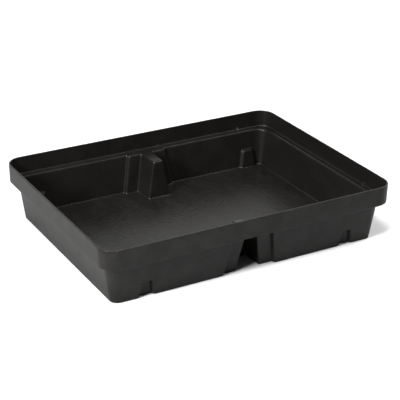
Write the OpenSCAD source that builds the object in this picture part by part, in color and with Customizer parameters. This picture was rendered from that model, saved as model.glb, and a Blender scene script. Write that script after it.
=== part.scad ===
// Spill containment tray: one thin plastic moulding with an upright rim, a ledge for a drop-in
// grating, a drafted sump, a support pillar in each long wall and small lugs near the corners.
// X runs along the tray, Y across it and +Z up. The origin is under the middle of the base.

/* [Overall] */
// Length over the rim
length = 805; // [600:5:1200]
// Width over the rim
width = 605; // [500:5:800]
// Height from the floor to the top of the rim
height = 155; // [130:1:200]
// Thickness of the moulding
wall = 4; // [3:0.5:5]

/* [Rim and ledge] */
// Height of the upright rim band
rim_h = 51; // [40:1:60]
// Outer corner radius of the rim band
rim_r = 43; // [30:1:60]
// How far the rim band leans in over its height
rim_draft = 0.8; // [0.5:0.1:2]
// Distance from the rim's outer edge to the sump's outer wall, under the ledge
ledge_inset = 19; // [15:1:25]

/* [Sump] */
// How far the sump's walls lean in over their height
sump_draft = 15; // [8:1:20]
// Outer corner radius of the sump, under the ledge
sump_r = 36; // [28:1:50]

/* [Pillars] */
// Width of a pillar's shallow panel, at the ledge
panel_w = 106; // [90:2:120]
// How far the panel stands out of the wall
panel_depth = 10; // [8:0.5:14]
// Width of a pillar's column, at the ledge
column_w = 27; // [26:1:40]
// How far the column stands out of the wall, at the ledge
column_depth = 76; // [50:1:90]
// Widening of the column towards the wall on each side, per unit of depth
column_flare = 0.06; // [0.02:0.01:0.2]
// Widening of the column towards the floor on each side, per unit of height
column_taper = 0.19; // [0.1:0.005:0.22]
// Widening of panels and lugs towards the floor on each side, per unit of height
step_taper = 0.24; // [0.1:0.005:0.26]
// Widening of panels and lugs towards the wall on each side, per unit of depth
step_flare = 0.45; // [0.2:0.05:0.6]

/* [Lugs] */
// Distance from the middle of the tray to each lug in the front wall
front_lug_x = 282; // [200:1:290]
// Distance from the middle of the tray to each lug in the rear wall
rear_lug_x = 323; // [200:1:325]
// Width of a front lug's face, at its top
front_lug_w = 22; // [20:1:34]
// Width of a rear lug's face, at its top
rear_lug_w = 29; // [20:1:34]
// Height of a front lug's top above the ground
front_lug_h = 46; // [30:1:60]
// Height of a rear lug's top above the ground
rear_lug_h = 54; // [30:1:60]
// How far a lug stands out of the wall
lug_depth = 9; // [7:0.5:12]

/* [Ribs on the ledge] */
// Height and reach of each small rib at the foot of the rim
rib_size = 8; // [4:0.5:12]
// Thickness of each rib
rib_t = 5; // [3:0.5:8]
// Distance from the rim's end to the rib, along the long walls
rib_x = 98; // [70:1:150]
// Distance from the rim's end to the rib, along the short walls
rib_y = 118; // [90:1:180]

/* [Hidden] */
$fn = 96;

ledge_under = height - rim_h;
ledge_top = ledge_under + wall;
sump_slope = sump_draft / ledge_under;
skin = wall * sqrt(1 + sump_slope * sump_slope);
overlap = 1;

// Where the outside of a long wall stands at height z
function outer_y(z) = width / 2 - ledge_inset - sump_slope * (ledge_under - z);
// Where its inside stands
function inner_y(z) = outer_y(z) - skin;

// Box with rounded corners and leaning sides: hx by hy (half sizes) at its top, h above its foot
module drafted_box(hx, hy, r, draft, h) {
    cx = hx - r;
    cy = hy - r;
    rotate([90, 0, 0]) linear_extrude(2 * cy, center = true) trapezoid(hx - draft, hx, h);
    rotate([90, 0, 90]) linear_extrude(2 * cx, center = true) trapezoid(hy - draft, hy, h);
    for (sx = [-1, 1], sy = [-1, 1])
        translate([sx * cx, sy * cy, 0]) cylinder(h, r - draft, r);
}

module trapezoid(foot, top, h)
    polygon([[-foot, 0], [foot, 0], [top, h], [-top, h]]);

// Drafted box that follows the sump's walls, `inset` inside their outer faces, from z0 to z1
module sump_space(inset, z0, z1) {
    out = sump_slope * (z1 - ledge_under) - inset;
    translate([0, 0, z0])
        drafted_box(length / 2 - ledge_inset + out, width / 2 - ledge_inset + out,
                    sump_r + out, sump_slope * (z1 - z0), z1 - z0);
}

// Block against the rear wall, symmetric about X = 0, with every face flat. `front` and `back` hold
// its Y at z0 and z1, `w` is its half width at the front edge of its top, and `sides` says how much it
// widens on each side, per unit downwards and per unit towards the wall.
module wall_block(w, front, back, sides, z0, z1) {
    function half(y, z) = w + sides[0] * (z1 - z) + sides[1] * (y - front[1]);
    y = [front, back];
    z = [z0, z1];
    polyhedron(
        points = [for (k = [0, 1], j = [0, 1], s = [-1, 1]) [s * half(y[j][k], z[k]), y[j][k], z[k]]],
        faces = [[0, 1, 3, 2], [4, 6, 7, 5], [0, 4, 5, 1], [2, 3, 7, 6], [0, 2, 6, 4], [1, 5, 7, 3]]);
}

// Block that stands out of the rear wall into the sump by d0 at the floor and d1 at its top
module bulge(w, d0, d1, sides, z1)
    wall_block(w, [inner_y(wall / 2) - d0, inner_y(z1) - d1],
               [inner_y(wall / 2), inner_y(z1)] + [skin, skin] / 2, sides, wall / 2, z1);

// Hollow behind such a bulge, one wall inside it and open at the bottom and to the outside
module hollow(w, d0, d1, sides, z1) {
    lean = (inner_y(z1) - d1 - inner_y(0) + d0) / z1;
    top = z1 - wall;
    back_off = skin - lean * wall;
    front_top = inner_y(z1) - d1 + back_off;
    w_in = w + sides * [wall, back_off] - wall * sqrt(1 + sides * sides);
    wall_block(w_in, [front_top - lean * (top + overlap), front_top],
               [outer_y(-overlap), outer_y(top)] + [1, 1] * overlap, sides, -overlap, top);
}

// The column's front leans in less than the wall, so it stands out a little less at the floor
column_foot = column_depth - 7;
column_sides = [column_taper, column_flare];
step_sides = [step_taper, step_flare];

// Children once for each long wall, the second time turned half round
module both_long_walls() for (a = [0, 180]) rotate(a) children();

// Children once for each lug, with the lug's top width in $lug_w and its height in $lug_h
module each_lug()
    for (side = [[0, rear_lug_x, rear_lug_w, rear_lug_h], [180, front_lug_x, front_lug_w, front_lug_h]],
         s = [-1, 1])
        let ($lug_w = side[2], $lug_h = side[3])
            rotate(side[0]) translate([s * side[1], 0, 0]) children();

module rim_and_sump()
    difference() {
        union() {
            translate([0, 0, ledge_under]) drafted_box(length / 2, width / 2, rim_r, rim_draft, rim_h);
            sump_space(0, 0, ledge_under);
        }
        translate([0, 0, ledge_top])
            drafted_box(length / 2 - wall, width / 2 - wall, rim_r - wall, rim_draft,
                        rim_h - wall + overlap);
        sump_space(skin, wall, ledge_top + overlap);
    }

// Small triangular rib at the foot of the rim, on the ledge
module ledge_rib(reach)
    translate([-rib_t / 2, reach - wall - rim_draft / 2, ledge_top - overlap])
        rotate([90, 0, 90]) linear_extrude(rib_t)
            polygon([[0.5, 0], [-rib_size, 0], [-rib_size, overlap], [0, rib_size + overlap],
                     [0.5, rib_size + overlap]]);

module spill_tray()
    color([0.09, 0.09, 0.09])
        difference() {
            union() {
                rim_and_sump();
                both_long_walls() {
                    bulge(panel_w / 2, panel_depth, panel_depth, step_sides, ledge_top);
                    bulge(column_w / 2, column_foot, column_depth, column_sides, ledge_top);
                    translate([length / 2 - rib_x, 0, 0]) ledge_rib(width / 2);
                    rotate(-90) translate([width / 2 - rib_y, 0, 0]) ledge_rib(length / 2);
                }
                each_lug() bulge($lug_w / 2, lug_depth, lug_depth, step_sides, $lug_h);
            }
            both_long_walls() {
                hollow(panel_w / 2, panel_depth, panel_depth, step_sides, ledge_top);
                hollow(column_w / 2, column_foot, column_depth, column_sides, ledge_top);
            }
            each_lug() hollow($lug_w / 2, lug_depth, lug_depth, step_sides, $lug_h);
        }

spill_tray();
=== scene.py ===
import math

import bpy
import numpy as np
from mathutils import Matrix, Vector


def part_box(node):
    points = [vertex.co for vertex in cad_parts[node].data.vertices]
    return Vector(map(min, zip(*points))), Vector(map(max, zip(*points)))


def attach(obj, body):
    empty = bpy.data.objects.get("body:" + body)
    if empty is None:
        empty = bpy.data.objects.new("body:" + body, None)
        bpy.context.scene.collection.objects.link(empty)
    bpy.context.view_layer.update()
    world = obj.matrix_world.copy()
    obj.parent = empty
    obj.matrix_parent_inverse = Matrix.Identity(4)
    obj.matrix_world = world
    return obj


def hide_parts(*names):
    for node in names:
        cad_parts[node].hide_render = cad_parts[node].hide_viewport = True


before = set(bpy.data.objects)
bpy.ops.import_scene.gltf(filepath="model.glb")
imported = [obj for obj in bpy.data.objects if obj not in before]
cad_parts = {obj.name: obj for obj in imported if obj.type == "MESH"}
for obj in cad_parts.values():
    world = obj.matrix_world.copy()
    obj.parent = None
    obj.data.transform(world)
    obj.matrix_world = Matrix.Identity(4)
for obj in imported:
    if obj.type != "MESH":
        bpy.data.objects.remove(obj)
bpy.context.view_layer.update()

MM = 0.001
LOW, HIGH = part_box("spill_tray")
LENGTH, WIDTH, HEIGHT = [(b - a) / MM for a, b in zip(LOW, HIGH)]

# ---------------------------------------------------------------- driving dimensions, as the CAD has them
WALL = 4
RIM_H = 51
RIM_R = 43
RIM_DRAFT = 0.8
LEDGE_INSET = 19
SUMP_DRAFT = 15
SUMP_R = 36
PANEL_W = 106
PANEL_DEPTH = 10
COLUMN_W = 27
COLUMN_DEPTH = 76
COLUMN_FOOT = 69
COLUMN_FLARE = 0.06
COLUMN_TAPER = 0.19
STEP_TAPER = 0.24
STEP_FLARE = 0.45
LUG_DEPTH = 9
RIB_SIZE = 8
RIB_T = 5
RIB_FROM_END = 98
RIB_FROM_SIDE = 118

LEDGE_UNDER = HEIGHT - RIM_H
LEDGE_TOP = LEDGE_UNDER + WALL
SLOPE = SUMP_DRAFT / LEDGE_UNDER
SKIN = WALL * math.hypot(1, SLOPE)
CORNER_X = LENGTH / 2 - LEDGE_INSET - SUMP_R
CORNER_Y = WIDTH / 2 - LEDGE_INSET - SUMP_R
RIM_CORNER_X = LENGTH / 2 - RIM_R
RIM_CORNER_Y = WIDTH / 2 - RIM_R

# ---------------------------------------------------------------- roundings, which the CAD leaves sharp
RIM_TOP_R = 1.5
RIM_EDGE_R = 2.5
RIM_FOOT_R = 3.2
# A pillar's edges and valleys never get sharper than these
LEAST_EDGE_R = 0.6
LEAST_VALLEY_R = 0.3
# Half the width over which a rib's side falls away
RIB_SIDE_FADE = 0.7

# ---------------------------------------------------------------- how close together the points stand
# Columns of points across a lug's side, measured out from the edge of its face, and how many on the face
LUG_COLUMNS = [-6, -5, -4.1, -3.3, -2.6, -1.9, -1.3, -0.7, -0.1, 0.5, 1.1, 1.7, 2.3, 2.9, 3.5, 4.1, 4.8, 5.6,
               6.6, 8, 10.5]
LUG_FACE = 2
# Rows round a lug's top, measured up from it, and how far below it the rows of the plain wall stop
LUG_ROWS = [-6.3, -4.9, -3.8, -2.9, -2.2, -1.6, -1.1, -0.7, -0.4, -0.15, 0, 0.15, 0.4, 0.7, 1.1, 1.6, 2.2, 2.9,
            3.8, 5, 6.5, 9]
BELOW_LUG_ROWS = 8
# Columns on a short wall: past the rib's place, across it (measured from its middle) and on to the middle
SIDE_PAST_RIB = [225, 203]
SIDE_RIB_COLUMNS = [-5, -3.8, -3.1, -2.5, -1.9, -1.2, 0, 1.2, 1.9, 2.5, 3.1, 3.8, 5]
SIDE_TO_MIDDLE = [150, 112, 75, 37, 0]
CORNER_STEPS = 14
# Rings on the ledge, measured in from the rim's foot, and up the rim's inside, measured up from the ledge
LEDGE_ROWS = [RIB_SIZE + 1.5, RIB_SIZE, 7, 6, 5, 4.2, 3.6]
RIM_ROWS = [3.4, 4.4, 5.4, 6.4, 7.3, RIB_SIZE, 9.5, 18, 32]
# Rings down the rim's outside, measured down from its top
RIM_OUTSIDE_ROWS = [14, 32]
# A rib's columns on the rim of a long wall spread this far to each side of its middle
RIM_RIB_REACH = 7
# Up to here from the middle of the front wall and of a short wall, columns stand at the same place on the rim
SAME_X = 240
SAME_Y = 192
# A ring stands this far inside the flat floor and the flat underside, and one this far in under the rim
FLAT_MARGIN = 1.5
UNDER_RIM_MARGIN = 0.8


class Lug:
    """A small hollow lug low in a long wall: its place along the wall, the width of its face and its top."""

    def __init__(self, x, width, top):
        self.x = x
        self.half = width / 2
        self.top = top


REAR_LUG = Lug(x=323, width=29, top=54)
FRONT_LUG = Lug(x=282, width=22, top=46)


class Sheet:
    """The inner or the outer face of the moulding: how far it is from the inner one, and its roundings."""

    def __init__(self, off, floor_r, ledge_r, column_ledge_r, valley_r, edge_r, lug_valley_r, lug_edge_r):
        self.off = off
        self.floor_z = WALL - off
        self.ledge_z = LEDGE_TOP - off
        self.floor_r = floor_r
        self.ledge_r = ledge_r
        self.column_ledge_r = column_ledge_r
        self.valley_r = valley_r
        self.edge_r = edge_r
        self.lug_valley_r = lug_valley_r
        self.lug_edge_r = lug_edge_r


INNER = Sheet(off=0, floor_r=3.8, ledge_r=6, column_ledge_r=7,
              valley_r=4.5, edge_r=6, lug_valley_r=3.5, lug_edge_r=4.4)
OUTER = Sheet(off=WALL, floor_r=3.5, ledge_r=1, column_ledge_r=1,
              valley_r=3.6, edge_r=2, lug_valley_r=3, lug_edge_r=1.5)


# ---------------------------------------------------------------- the plan outline at one height
def wall_y(z):
    """Inside of a long wall at height z."""
    return WIDTH / 2 - LEDGE_INSET - SKIN - SLOPE * (LEDGE_UNDER - z)


def corner_r(z):
    """Radius of the sump's inside corner at height z."""
    return SUMP_R - SKIN - SLOPE * (LEDGE_UNDER - z)


def inset(z, slope, sheet, ledge_r=None):
    """How far a face of that slope stands into the tray at height z, with its roundings at floor and ledge."""
    steep = math.hypot(1, slope)
    move = -sheet.off * steep
    r = sheet.floor_r
    low = z - sheet.floor_z
    if low < r * (1 - slope / steep):
        move += r * (steep - slope) + slope * low - math.sqrt(max(r * r - (r - low) ** 2, 0))
    r = ledge_r or sheet.ledge_r
    high = z - sheet.ledge_z
    if high > r * (slope / steep - 1):
        move += -r * (steep - slope) + slope * high + math.sqrt(max(r * r - (high + r) ** 2, 0))
    return move


def arc_between(corner, d_in, d_out, radius, steps):
    """Points of the round that replaces a corner where the outline turns from one direction to the other."""
    turn = math.atan2(d_in[0] * d_out[1] - d_in[1] * d_out[0], d_in[0] * d_out[0] + d_in[1] * d_out[1])
    reach = radius * math.tan(abs(turn) / 2)
    side = math.copysign(1, turn)
    start = (corner[0] - d_in[0] * reach, corner[1] - d_in[1] * reach)
    centre = (start[0] - d_in[1] * side * radius, start[1] + d_in[0] * side * radius)
    spoke = (start[0] - centre[0], start[1] - centre[1])
    points = []
    for k in range(steps + 1):
        a = turn * k / steps
        points.append((centre[0] + spoke[0] * math.cos(a) - spoke[1] * math.sin(a),
                       centre[1] + spoke[0] * math.sin(a) + spoke[1] * math.cos(a)))
    return points


def between(a, b, steps):
    """Points that divide the straight from a to b, without its ends."""
    return [(a[0] + (b[0] - a[0]) * k / steps, a[1] + (b[1] - a[1]) * k / steps) for k in range(1, steps)]


def pillar(z, sheet, extra):
    """Half of a pillar's outline, from the middle of the column's front to the wall beside the panel."""
    column_top_y = wall_y(LEDGE_TOP) - COLUMN_DEPTH
    column_foot_y = wall_y(WALL / 2) - COLUMN_FOOT
    panel_top_y = wall_y(LEDGE_TOP) - PANEL_DEPTH
    front_slope = (column_top_y - column_foot_y) / (LEDGE_TOP - WALL / 2)
    down = LEDGE_TOP - z
    d_front = inset(z, front_slope, sheet, sheet.column_ledge_r) + extra
    d_side = inset(z, COLUMN_TAPER, sheet) + extra
    d_step = inset(z, STEP_TAPER, sheet) + extra
    d_wall = inset(z, SLOPE, sheet) + extra
    column_y = column_top_y - front_slope * down - d_front
    base_y = wall_y(z) - d_wall
    panel_y = base_y - PANEL_DEPTH
    column_steep = math.hypot(1, COLUMN_FLARE)
    panel_steep = math.hypot(1, STEP_FLARE)

    def column_x(y):
        """The column's side at y."""
        return (COLUMN_W / 2 + COLUMN_TAPER * down + COLUMN_FLARE * (y - column_top_y)
                + d_side * column_steep)

    def panel_x(y):
        """The panel's side at y."""
        return PANEL_W / 2 + STEP_TAPER * down + STEP_FLARE * (y - panel_top_y) + d_step * panel_steep

    along = (1, 0)
    up_column = (COLUMN_FLARE / column_steep, 1 / column_steep)
    up_panel = (STEP_FLARE / panel_steep, 1 / panel_steep)
    # at the floor and at the ledge the roundings move the sides, and the edges and valleys go with them
    moved = sheet.off + (d_side + d_wall) / 2
    edge_r = max(sheet.edge_r + moved, LEAST_EDGE_R)
    valley_r = max(sheet.valley_r - moved, LEAST_VALLEY_R)
    column_edge = arc_between((column_x(column_y), column_y), along, up_column, edge_r, 7)
    column_valley = arc_between((column_x(panel_y), panel_y), up_column, along, valley_r, 6)
    panel_edge = arc_between((panel_x(panel_y), panel_y), along, up_panel, edge_r, 6)
    panel_valley = arc_between((panel_x(base_y), base_y), up_panel, along, valley_r, 6)
    return ([(0, column_y)] + between((0, column_y), column_edge[0], 3) + column_edge
            + between(column_edge[-1], column_valley[0], 6) + column_valley
            + between(column_valley[-1], panel_edge[0], 4) + panel_edge + panel_valley)


def lug_path(z, lug):
    """Where the columns of points across a lug stand along the wall. The lug widens downwards."""
    half = lug.half + STEP_TAPER * max(lug.top - z, 0)
    offsets = np.array(LUG_COLUMNS)
    face = np.linspace(-half - LUG_COLUMNS[0], half + LUG_COLUMNS[0], LUG_FACE + 2)[1:-1]
    return lug.x + np.concatenate([-(half + offsets[::-1]), face, half + offsets])


def lug_surface(x, z, move, lug, sheet):
    """Y of the long wall with its lug, at x and z: the rounded lug joined to the wall by a fillet."""
    steep = math.hypot(1, SLOPE)
    flare_steep = math.hypot(1, STEP_FLARE)
    side_steep = math.sqrt(1 + STEP_TAPER ** 2 + STEP_FLARE ** 2)
    face_top_y = wall_y(lug.top) - LUG_DEPTH
    inward = move + sheet.off * steep
    edge_r = sheet.lug_edge_r
    valley_r = sheet.lug_valley_r

    def space(y):
        """Distance from the plastic, positive in the air."""
        straight = (wall_y(z) - move - y) / steep
        rounded = (corner_r(z) - move - np.hypot(x - CORNER_X, y - CORNER_Y)) / steep
        from_wall = np.where(x > CORNER_X, rounded, straight)
        half = lug.half + STEP_TAPER * (lug.top - z) + STEP_FLARE * (y - face_top_y)
        side = (abs(x - lug.x) - half - inward * flare_steep) / side_steep + sheet.off
        front = (wall_y(z) - LUG_DEPTH - move - y) / steep
        top = z - lug.top + sheet.off
        out = [side + edge_r, front + edge_r, top + edge_r]
        from_lug = (np.sqrt(sum(np.maximum(o, 0) ** 2 for o in out)) - edge_r
                    + np.minimum(np.maximum(np.maximum(out[0], out[1]), out[2]), 0))
        near_wall = np.maximum(valley_r - from_wall, 0)
        near_lug = np.maximum(valley_r - from_lug, 0)
        return np.maximum(valley_r, np.minimum(from_wall, from_lug)) - np.hypot(near_wall, near_lug)

    # the surface lies between a place well in front of the lug and one behind the wall: halve the gap
    before_lug = 8
    behind_wall = 3
    halvings = 40
    near = wall_y(z) - LUG_DEPTH - move - before_lug
    far = wall_y(z) - move + behind_wall
    for _ in range(halvings):
        middle = (near + far) / 2
        air = space(middle) > 0
        near = np.where(air, middle, near)
        far = np.where(air, far, middle)
    return (near + far) / 2


def short_wall(z, z_middle, sheet, extra):
    """Rows of x, y, z from the corner, at height z, to the middle of the short wall, at z_middle."""
    rib_y = WIDTH / 2 - RIB_FROM_SIDE
    rows = []
    for y in SIDE_PAST_RIB + [rib_y - o for o in SIDE_RIB_COLUMNS] + SIDE_TO_MIDDLE:
        share = 1 - y / CORNER_Y
        z_here = z + (z_middle - z) * share
        move = inset(z_here, SLOPE, sheet) + extra
        rows.append((wall_y(z_here) + (CORNER_X - CORNER_Y) - move, y, z_here))
    return rows


def quarter(z, z_middle, lug, sheet, extra=0):
    """A quarter of a ring, from the middle of the long wall to the middle of the short one, moved into the
    tray by `extra`. Returns rows of x, y, z, and for each point its place on the rim: a length along a
    straight, or an angle in the corner."""
    move = inset(z, SLOPE, sheet) + extra
    wall = wall_y(z) - move
    radius = corner_r(z) - move
    path = lug_path(z, lug)
    angle = np.maximum(path - CORNER_X, 0) / corner_r(z)
    lug_x = np.where(path > CORNER_X, CORNER_X + radius * np.sin(angle), path)
    lug_y = lug_surface(lug_x, z, move, lug, sheet)

    points = pillar(z, sheet, extra)
    points += between(points[-1], (lug_x[0], wall), 6)
    place = [("x", x) for x, _ in points]
    points += list(zip(lug_x, lug_y))
    place += [("a", a) if a > 0 else ("x", x) for x, a in zip(lug_x, angle)]
    first_angle = angle[-1]
    if first_angle == 0:
        plain = between((lug_x[-1], wall), (CORNER_X, wall), 3) + [(CORNER_X, wall)]
        points += plain
        place += [("x", x) for x, _ in plain]
    for k in range(1, CORNER_STEPS + 1):
        a = first_angle + (math.pi / 2 - first_angle) * k / CORNER_STEPS
        points.append((CORNER_X + radius * math.sin(a), CORNER_Y + radius * math.cos(a)))
        place.append(("a", a))
    side = short_wall(z, z_middle, sheet, extra)
    place += [("y", y) for _, y, _ in side]
    return np.array([(x, y, z) for x, y in points] + side), place


def rim_quarter(radius, z, place, lug):
    """The matching quarter of a rim ring, `radius` out from the rim's corner axes. The close columns beside
    the lug are moved along to the rib, which needs them there."""
    rib_x = LENGTH / 2 - RIB_FROM_END
    rib = [rib_x - RIM_RIB_REACH, rib_x + RIM_RIB_REACH]
    first, last = LUG_COLUMNS[0], LUG_COLUMNS[-1]
    inner_side, outer_side = lug.x - lug.half, lug.x + lug.half
    if abs(inner_side - rib_x) < abs(outer_side - rib_x):
        known = [0, inner_side - last, inner_side - first, CORNER_X]
        wanted = [0] + rib + [RIM_CORNER_X]
    else:
        known = [0, SAME_X, outer_side + first, outer_side + last, CORNER_X]
        wanted = [0, SAME_X] + rib + [RIM_CORNER_X]
    points = []
    for kind, value in place:
        if kind == "x":
            points.append((np.interp(value, known, wanted), RIM_CORNER_Y + radius))
        elif kind == "a":
            points.append((RIM_CORNER_X + radius * math.sin(value), RIM_CORNER_Y + radius * math.cos(value)))
        else:
            y = np.interp(value, [0, SAME_Y, CORNER_Y], [0, SAME_Y, RIM_CORNER_Y])
            points.append((RIM_CORNER_X + radius, y))
    return np.array([(x, y, z) for x, y in points])


def whole_ring(rear, front):
    """All four quarters, from the rear and the front one, as one closed ring."""
    right_front = (front * (1, -1, 1))[::-1]
    left_front = front * (-1, -1, 1)
    left_rear = (rear * (-1, 1, 1))[::-1]
    return np.concatenate([rear[:-1], right_front[:-1], left_front[:-1], left_rear[:-1]])


# ---------------------------------------------------------------- the stack of rings
def wall_heights(sheet, lug_top):
    """Heights up the sump's wall, close together at the roundings and round the top of the lug."""
    top = lug_top - sheet.off
    foot = [sheet.floor_z + sheet.floor_r * (1 - math.cos(math.radians(a))) for a in range(0, 91, 15)]
    lower = list(np.linspace(foot[-1], top - BELOW_LUG_ROWS, 6)[1:])
    lug = [top + o for o in LUG_ROWS]
    r = max(sheet.ledge_r, sheet.column_ledge_r)
    ledge = [sheet.ledge_z - r * (1 - math.sin(math.radians(a))) for a in (0, 18, 34, 48, 60, 70, 80, 90)]
    upper = list(np.linspace(lug[-1], ledge[0], 6)[1:-1])
    return foot + lower + lug + upper + ledge


def sump_rings(sheet):
    """Rings of one face of the sump from the floor up, and where each column of points meets the rim."""
    rings = []
    for rear_z, front_z in zip(wall_heights(sheet, REAR_LUG.top), wall_heights(sheet, FRONT_LUG.top)):
        middle = (rear_z + front_z) / 2
        if not rings:
            rings.append(whole_ring(quarter(rear_z, middle, REAR_LUG, sheet, FLAT_MARGIN)[0],
                                    quarter(front_z, middle, FRONT_LUG, sheet, FLAT_MARGIN)[0]))
        rear, rear_place = quarter(rear_z, middle, REAR_LUG, sheet)
        front, front_place = quarter(front_z, middle, FRONT_LUG, sheet)
        rings.append(whole_ring(rear, front))
    return rings, (rear_place, front_place)


def rim_ring(radius, z, places):
    """A whole ring of the rim, `radius` out from the rim's corner axes."""
    rear = rim_quarter(radius, z, places[0], REAR_LUG)
    front = rim_quarter(radius, z, places[1], FRONT_LUG)
    return whole_ring(rear, front)


def rim_sections():
    """(radius, height) of the rim's rings: ledge, foot, inside and top, then outside and lower edge."""
    foot_r = RIM_R - WALL - RIM_DRAFT
    top_z = HEIGHT - RIM_TOP_R
    edge_z = LEDGE_UNDER + RIM_EDGE_R

    def inside(z):
        return foot_r + RIM_DRAFT * (z - LEDGE_TOP) / (HEIGHT - LEDGE_TOP)

    def outside(z):
        return RIM_R - RIM_DRAFT * (HEIGHT - z) / RIM_H

    steps = [math.radians(a) for a in (0, 22, 45, 68, 90)]
    ledge = [(foot_r - q, LEDGE_TOP) for q in LEDGE_ROWS]
    foot = [(foot_r - RIM_FOOT_R * (1 - math.sin(a)), LEDGE_TOP + RIM_FOOT_R * (1 - math.cos(a)))
            for a in steps]
    up = [(inside(LEDGE_TOP + h), LEDGE_TOP + h) for h in RIM_ROWS]
    over = [(inside(top_z) + RIM_TOP_R * (1 - math.cos(a)), top_z + RIM_TOP_R * math.sin(a)) for a in steps]
    away = [(outside(top_z) - RIM_TOP_R * (1 - math.cos(a)), top_z + RIM_TOP_R * math.sin(a))
            for a in reversed(steps)]
    down = [(outside(HEIGHT - h), HEIGHT - h) for h in RIM_OUTSIDE_ROWS]
    edge = [(outside(edge_z) - RIM_EDGE_R * (1 - math.cos(a)), edge_z - RIM_EDGE_R * math.sin(a))
            for a in steps]
    under = [(outside(edge_z) - RIM_EDGE_R - UNDER_RIM_MARGIN, LEDGE_UNDER)]
    return ledge + foot + up + over, away + down + edge + under


def raise_ribs(ring):
    """Fills the corner at the rim's foot with the four small ribs. Works on rings of the inner face."""
    rib_x = LENGTH / 2 - RIB_FROM_END
    rib_y = WIDTH / 2 - RIB_FROM_SIDE
    foot_x = LENGTH / 2 - WALL - RIM_DRAFT
    foot_y = WIDTH / 2 - WALL - RIM_DRAFT
    # each rib: the axis its wall faces, the wall's side and foot, and where along the wall the rib stands
    ribs = [(1, 1, foot_y, rib_x), (1, -1, foot_y, -rib_x), (0, 1, foot_x, -rib_y), (0, -1, foot_x, rib_y)]
    for axis, side, foot, along in ribs:
        away = np.abs(ring[:, 1 - axis] - along)
        depth = foot - side * ring[:, axis]
        height = ring[:, 2] - LEDGE_TOP
        fade = np.clip((RIB_T / 2 + RIB_SIDE_FADE - away) / (2 * RIB_SIDE_FADE), 0, 1)
        full = fade * fade * (3 - 2 * fade)
        push = np.maximum(RIB_SIZE - np.maximum(depth, 0) - height, 0) / 2 * full
        push = np.where(side * ring[:, axis] > 0, push, 0)
        ring[:, axis] -= side * push
        ring[:, 2] += push
    return ring


# ---------------------------------------------------------------- the tray
def tray_mesh():
    """The whole moulding as one closed mesh: quads between the rings, and a flat face each for floor and
    underside."""
    inner, places = sump_rings(INNER)
    outer, _ = sump_rings(OUTER)
    inside, outside = rim_sections()
    rings = inner + [raise_ribs(rim_ring(r, z, places)) for r, z in inside]
    rings += [rim_ring(r, z, places) for r, z in outside] + outer[::-1]
    count = len(rings[0])
    verts = np.concatenate(rings) * MM
    faces = []
    for k in range(len(rings) - 1):
        a, b = k * count, (k + 1) * count
        for i in range(count):
            j = (i + 1) % count
            faces.append((a + i, a + j, b + j, b + i))
    faces.append(tuple(reversed(range(count))))
    last = (len(rings) - 1) * count
    faces.append(tuple(range(last, last + count)))
    mesh = bpy.data.meshes.new("spill_tray_moulding")
    mesh.from_pydata([tuple(v) for v in verts], [], faces)
    mesh.validate()
    mesh.shade_smooth()
    return mesh


def main():
    tray = bpy.data.objects.new("tray_moulding", tray_mesh())
    bpy.context.scene.collection.objects.link(tray)
    normals = tray.modifiers.new("even_shading", "WEIGHTED_NORMAL")
    normals.keep_sharp = True
    tray.data.materials.append(black_plastic())
    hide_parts("spill_tray")
    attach(tray, "root")


# ---------------------------------------------------------------- material
CLEAN = (0.0050, 0.0046, 0.0041, 1)
RUBBED = (0.0085, 0.0082, 0.0076, 1)
DUSTY = (0.0090, 0.0087, 0.0083, 1)


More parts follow.
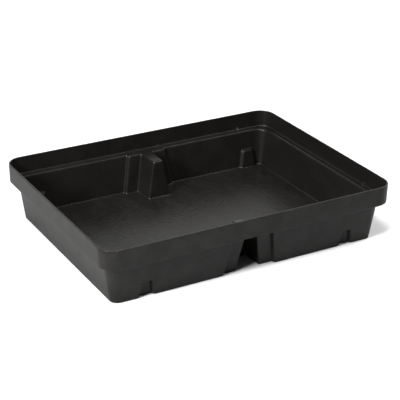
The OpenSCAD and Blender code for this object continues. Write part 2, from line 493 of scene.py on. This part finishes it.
def black_plastic():
    """Black polyethylene: a near-black body under a smooth skin, which gives most of the shine, with a fine
    moulded grain, a mottled floor, faint rub marks and a thin film of dust outside."""
    mat = bpy.data.materials.new("black_polyethylene")
    mat.use_nodes = True
    nodes, links = mat.node_tree.nodes, mat.node_tree.links
    shader = nodes["Principled BSDF"]
    shader.inputs["IOR"].default_value = 1.5
    shader.inputs["Specular IOR Level"].default_value = 0.01
    shader.inputs["Coat Weight"].default_value = 0.26
    shader.inputs["Coat Roughness"].default_value = 0.33
    where = nodes.new("ShaderNodeTexCoord")
    surface = nodes.new("ShaderNodeNewGeometry")

    def noise(scale, detail, stretch=(1, 1, 1)):
        mapping = nodes.new("ShaderNodeMapping")
        mapping.inputs["Scale"].default_value = stretch
        links.new(where.outputs["Object"], mapping.inputs["Vector"])
        node = nodes.new("ShaderNodeTexNoise")
        node.inputs["Scale"].default_value = scale
        node.inputs["Detail"].default_value = detail
        links.new(mapping.outputs["Vector"], node.inputs["Vector"])
        return node.outputs["Fac"]

    def remap(value, low, high, out_low, out_high):
        node = nodes.new("ShaderNodeMapRange")
        node.inputs["From Min"].default_value = low
        node.inputs["From Max"].default_value = high
        node.inputs["To Min"].default_value = out_low
        node.inputs["To Max"].default_value = out_high
        links.new(value, node.inputs["Value"])
        return node.outputs["Result"]

    def combine(operation, a, b):
        node = nodes.new("ShaderNodeMath")
        node.operation = operation
        links.new(a, node.inputs[0])
        links.new(b, node.inputs[1])
        return node.outputs["Value"]

    def tint(factor, colour):
        """Mixer that goes towards the colour with the factor. Its A is left for the caller."""
        node = nodes.new("ShaderNodeMix")
        node.data_type = "RGBA"
        links.new(factor, node.inputs["Factor"])
        node.inputs["B"].default_value = colour
        return node

    def bump(height, distance, strength, under=None):
        node = nodes.new("ShaderNodeBump")
        node.inputs["Strength"].default_value = strength
        node.inputs["Distance"].default_value = distance
        links.new(height, node.inputs["Height"])
        if under:
            links.new(under, node.inputs["Normal"])
        return node.outputs["Normal"]

    # the floor is more worn than the walls: duller, and mottled where containers have rubbed
    split = nodes.new("ShaderNodeSeparateXYZ")
    links.new(where.outputs["Object"], split.inputs["Vector"])
    worn = remap(split.outputs["Z"], (WALL + 0.5) * MM, (WALL + 3) * MM, 1, 0)
    patches = noise(9, 3)
    smears = noise(26, 5, (1, 0.35, 1))
    mottle = noise(105, 3)

    dull = combine("ADD", remap(patches, 0.3, 0.7, 0.34, 0.38), remap(smears, 0.45, 0.75, 0, 0.04))
    floor_dull = combine("MULTIPLY", worn, remap(mottle, 0.35, 0.65, 0.06, 0.14))
    links.new(combine("ADD", dull, floor_dull), shader.inputs["Roughness"])

    floor_rub = combine("MULTIPLY", worn, remap(mottle, 0.4, 0.7, 0, 0.5))
    rubbed = tint(combine("ADD", remap(smears, 0.4, 0.8, 0, 0.6), floor_rub), RUBBED)
    rubbed.inputs["A"].default_value = CLEAN

    # dust lies in patches, only outside: there the surface faces away from the tray's middle, so the part of
    # its distance from the middle that lies along its normal is large
    facing = nodes.new("ShaderNodeVectorMath")
    facing.operation = "DOT_PRODUCT"
    links.new(where.outputs["Object"], facing.inputs[0])
    links.new(surface.outputs["Normal"], facing.inputs[1])
    outside = remap(facing.outputs["Value"], 170 * MM, 220 * MM, 0, 1)
    dusty = tint(combine("MULTIPLY", outside, remap(noise(28, 5), 0.42, 0.66, 0, 1)), DUSTY)
    links.new(rubbed.outputs["Result"], dusty.inputs["A"])
    links.new(dusty.outputs["Result"], shader.inputs["Base Color"])

    # fine grain, then the mottle, which is strongest on the floor, then slight waves
    normal = bump(noise(900, 2), 0.06 * MM, 0.35)
    normal = bump(combine("MULTIPLY", mottle, remap(worn, 0, 1, 0.35, 1)), 0.7 * MM, 1, normal)
    normal = bump(noise(45, 2), 0.4 * MM, 0.3, normal)
    links.new(normal, shader.inputs["Normal"])
    links.new(normal, shader.inputs["Coat Normal"])
    return mat


# ---------------------------------------------------------------- camera, lights and floor
AIM = (0, 0, 0.1)

# name, place, size and power of each light, all pointed at AIM
LIGHTS = [
    ("key", (-0.38, -0.82, 2.6), (0.5, 0.9), 77),
    ("left_panel", (-2.2, -0.8, 1.3), (0.5, 0.5), 130),
    ("fill", (-1.6, -0.4, 2.2), (1.2, 1.2), 48),
    ("right_panel", (2.4, -0.1, 2.0), (1.4, 1.0), 50),
    ("backdrop", (2.0, 3.0, 1.9), (7.0, 3.2), 200),
    ("glint", (1.4, -1.2, 2.4), (0.3, 0.3), 18),
]


def camera():
    yaw, pitch, roll = [math.radians(a) for a in (29.52, 24.96, 0.66)]
    place = (-1.4622, -2.5528, 1.4497)
    data = bpy.data.cameras.new("camera")
    data.sensor_width = 36
    data.lens = 113.4
    data.shift_x, data.shift_y = 0.0255, -0.004
    data.clip_end = 50
    obj = bpy.data.objects.new("camera", data)
    turn = (Matrix.Rotation(-yaw, 4, "Z") @ Matrix.Rotation(math.pi / 2 - pitch, 4, "X")
            @ Matrix.Rotation(roll, 4, "Z"))
    obj.matrix_world = Matrix.Translation(place) @ turn
    bpy.context.scene.collection.objects.link(obj)
    bpy.context.scene.camera = obj


def area_light(name, place, size, power):
    data = bpy.data.lights.new(name, "AREA")
    data.shape = "RECTANGLE"
    data.size, data.size_y = size
    data.energy = power
    obj = bpy.data.objects.new(name, data)
    back = Vector(place) - Vector(AIM)
    obj.matrix_world = Matrix.Translation(place) @ back.to_track_quat("Z", "Y").to_matrix().to_4x4()
    obj.visible_camera = False
    bpy.context.scene.collection.objects.link(obj)


def pale_floor():
    reach = 12
    mesh = bpy.data.meshes.new("floor")
    mesh.from_pydata([(-reach, -reach, 0), (reach, -reach, 0), (reach, reach, 0), (-reach, reach, 0)],
                     [], [(0, 1, 2, 3)])
    floor = bpy.data.objects.new("floor", mesh)
    bpy.context.scene.collection.objects.link(floor)
    paint = bpy.data.materials.new("pale_floor")
    paint.use_nodes = True
    shader = paint.node_tree.nodes["Principled BSDF"]
    shader.inputs["Base Color"].default_value = (0.58, 0.58, 0.58, 1)
    shader.inputs["Roughness"].default_value = 0.9
    shader.inputs["Specular IOR Level"].default_value = 0.1
    mesh.materials.append(paint)


def studio():
    """A pale floor under a dim white sky, lit by the lights in the list."""
    pale_floor()
    world = bpy.data.worlds.new("studio")
    world.use_nodes = True
    sky = world.node_tree.nodes["Background"]
    sky.inputs["Color"].default_value = (1, 1, 1, 1)
    sky.inputs["Strength"].default_value = 0.09
    bpy.context.scene.world = world
    for light in LIGHTS:
        area_light(*light)
    bpy.context.scene.view_settings.view_transform = "Standard"


camera()
studio()
main()
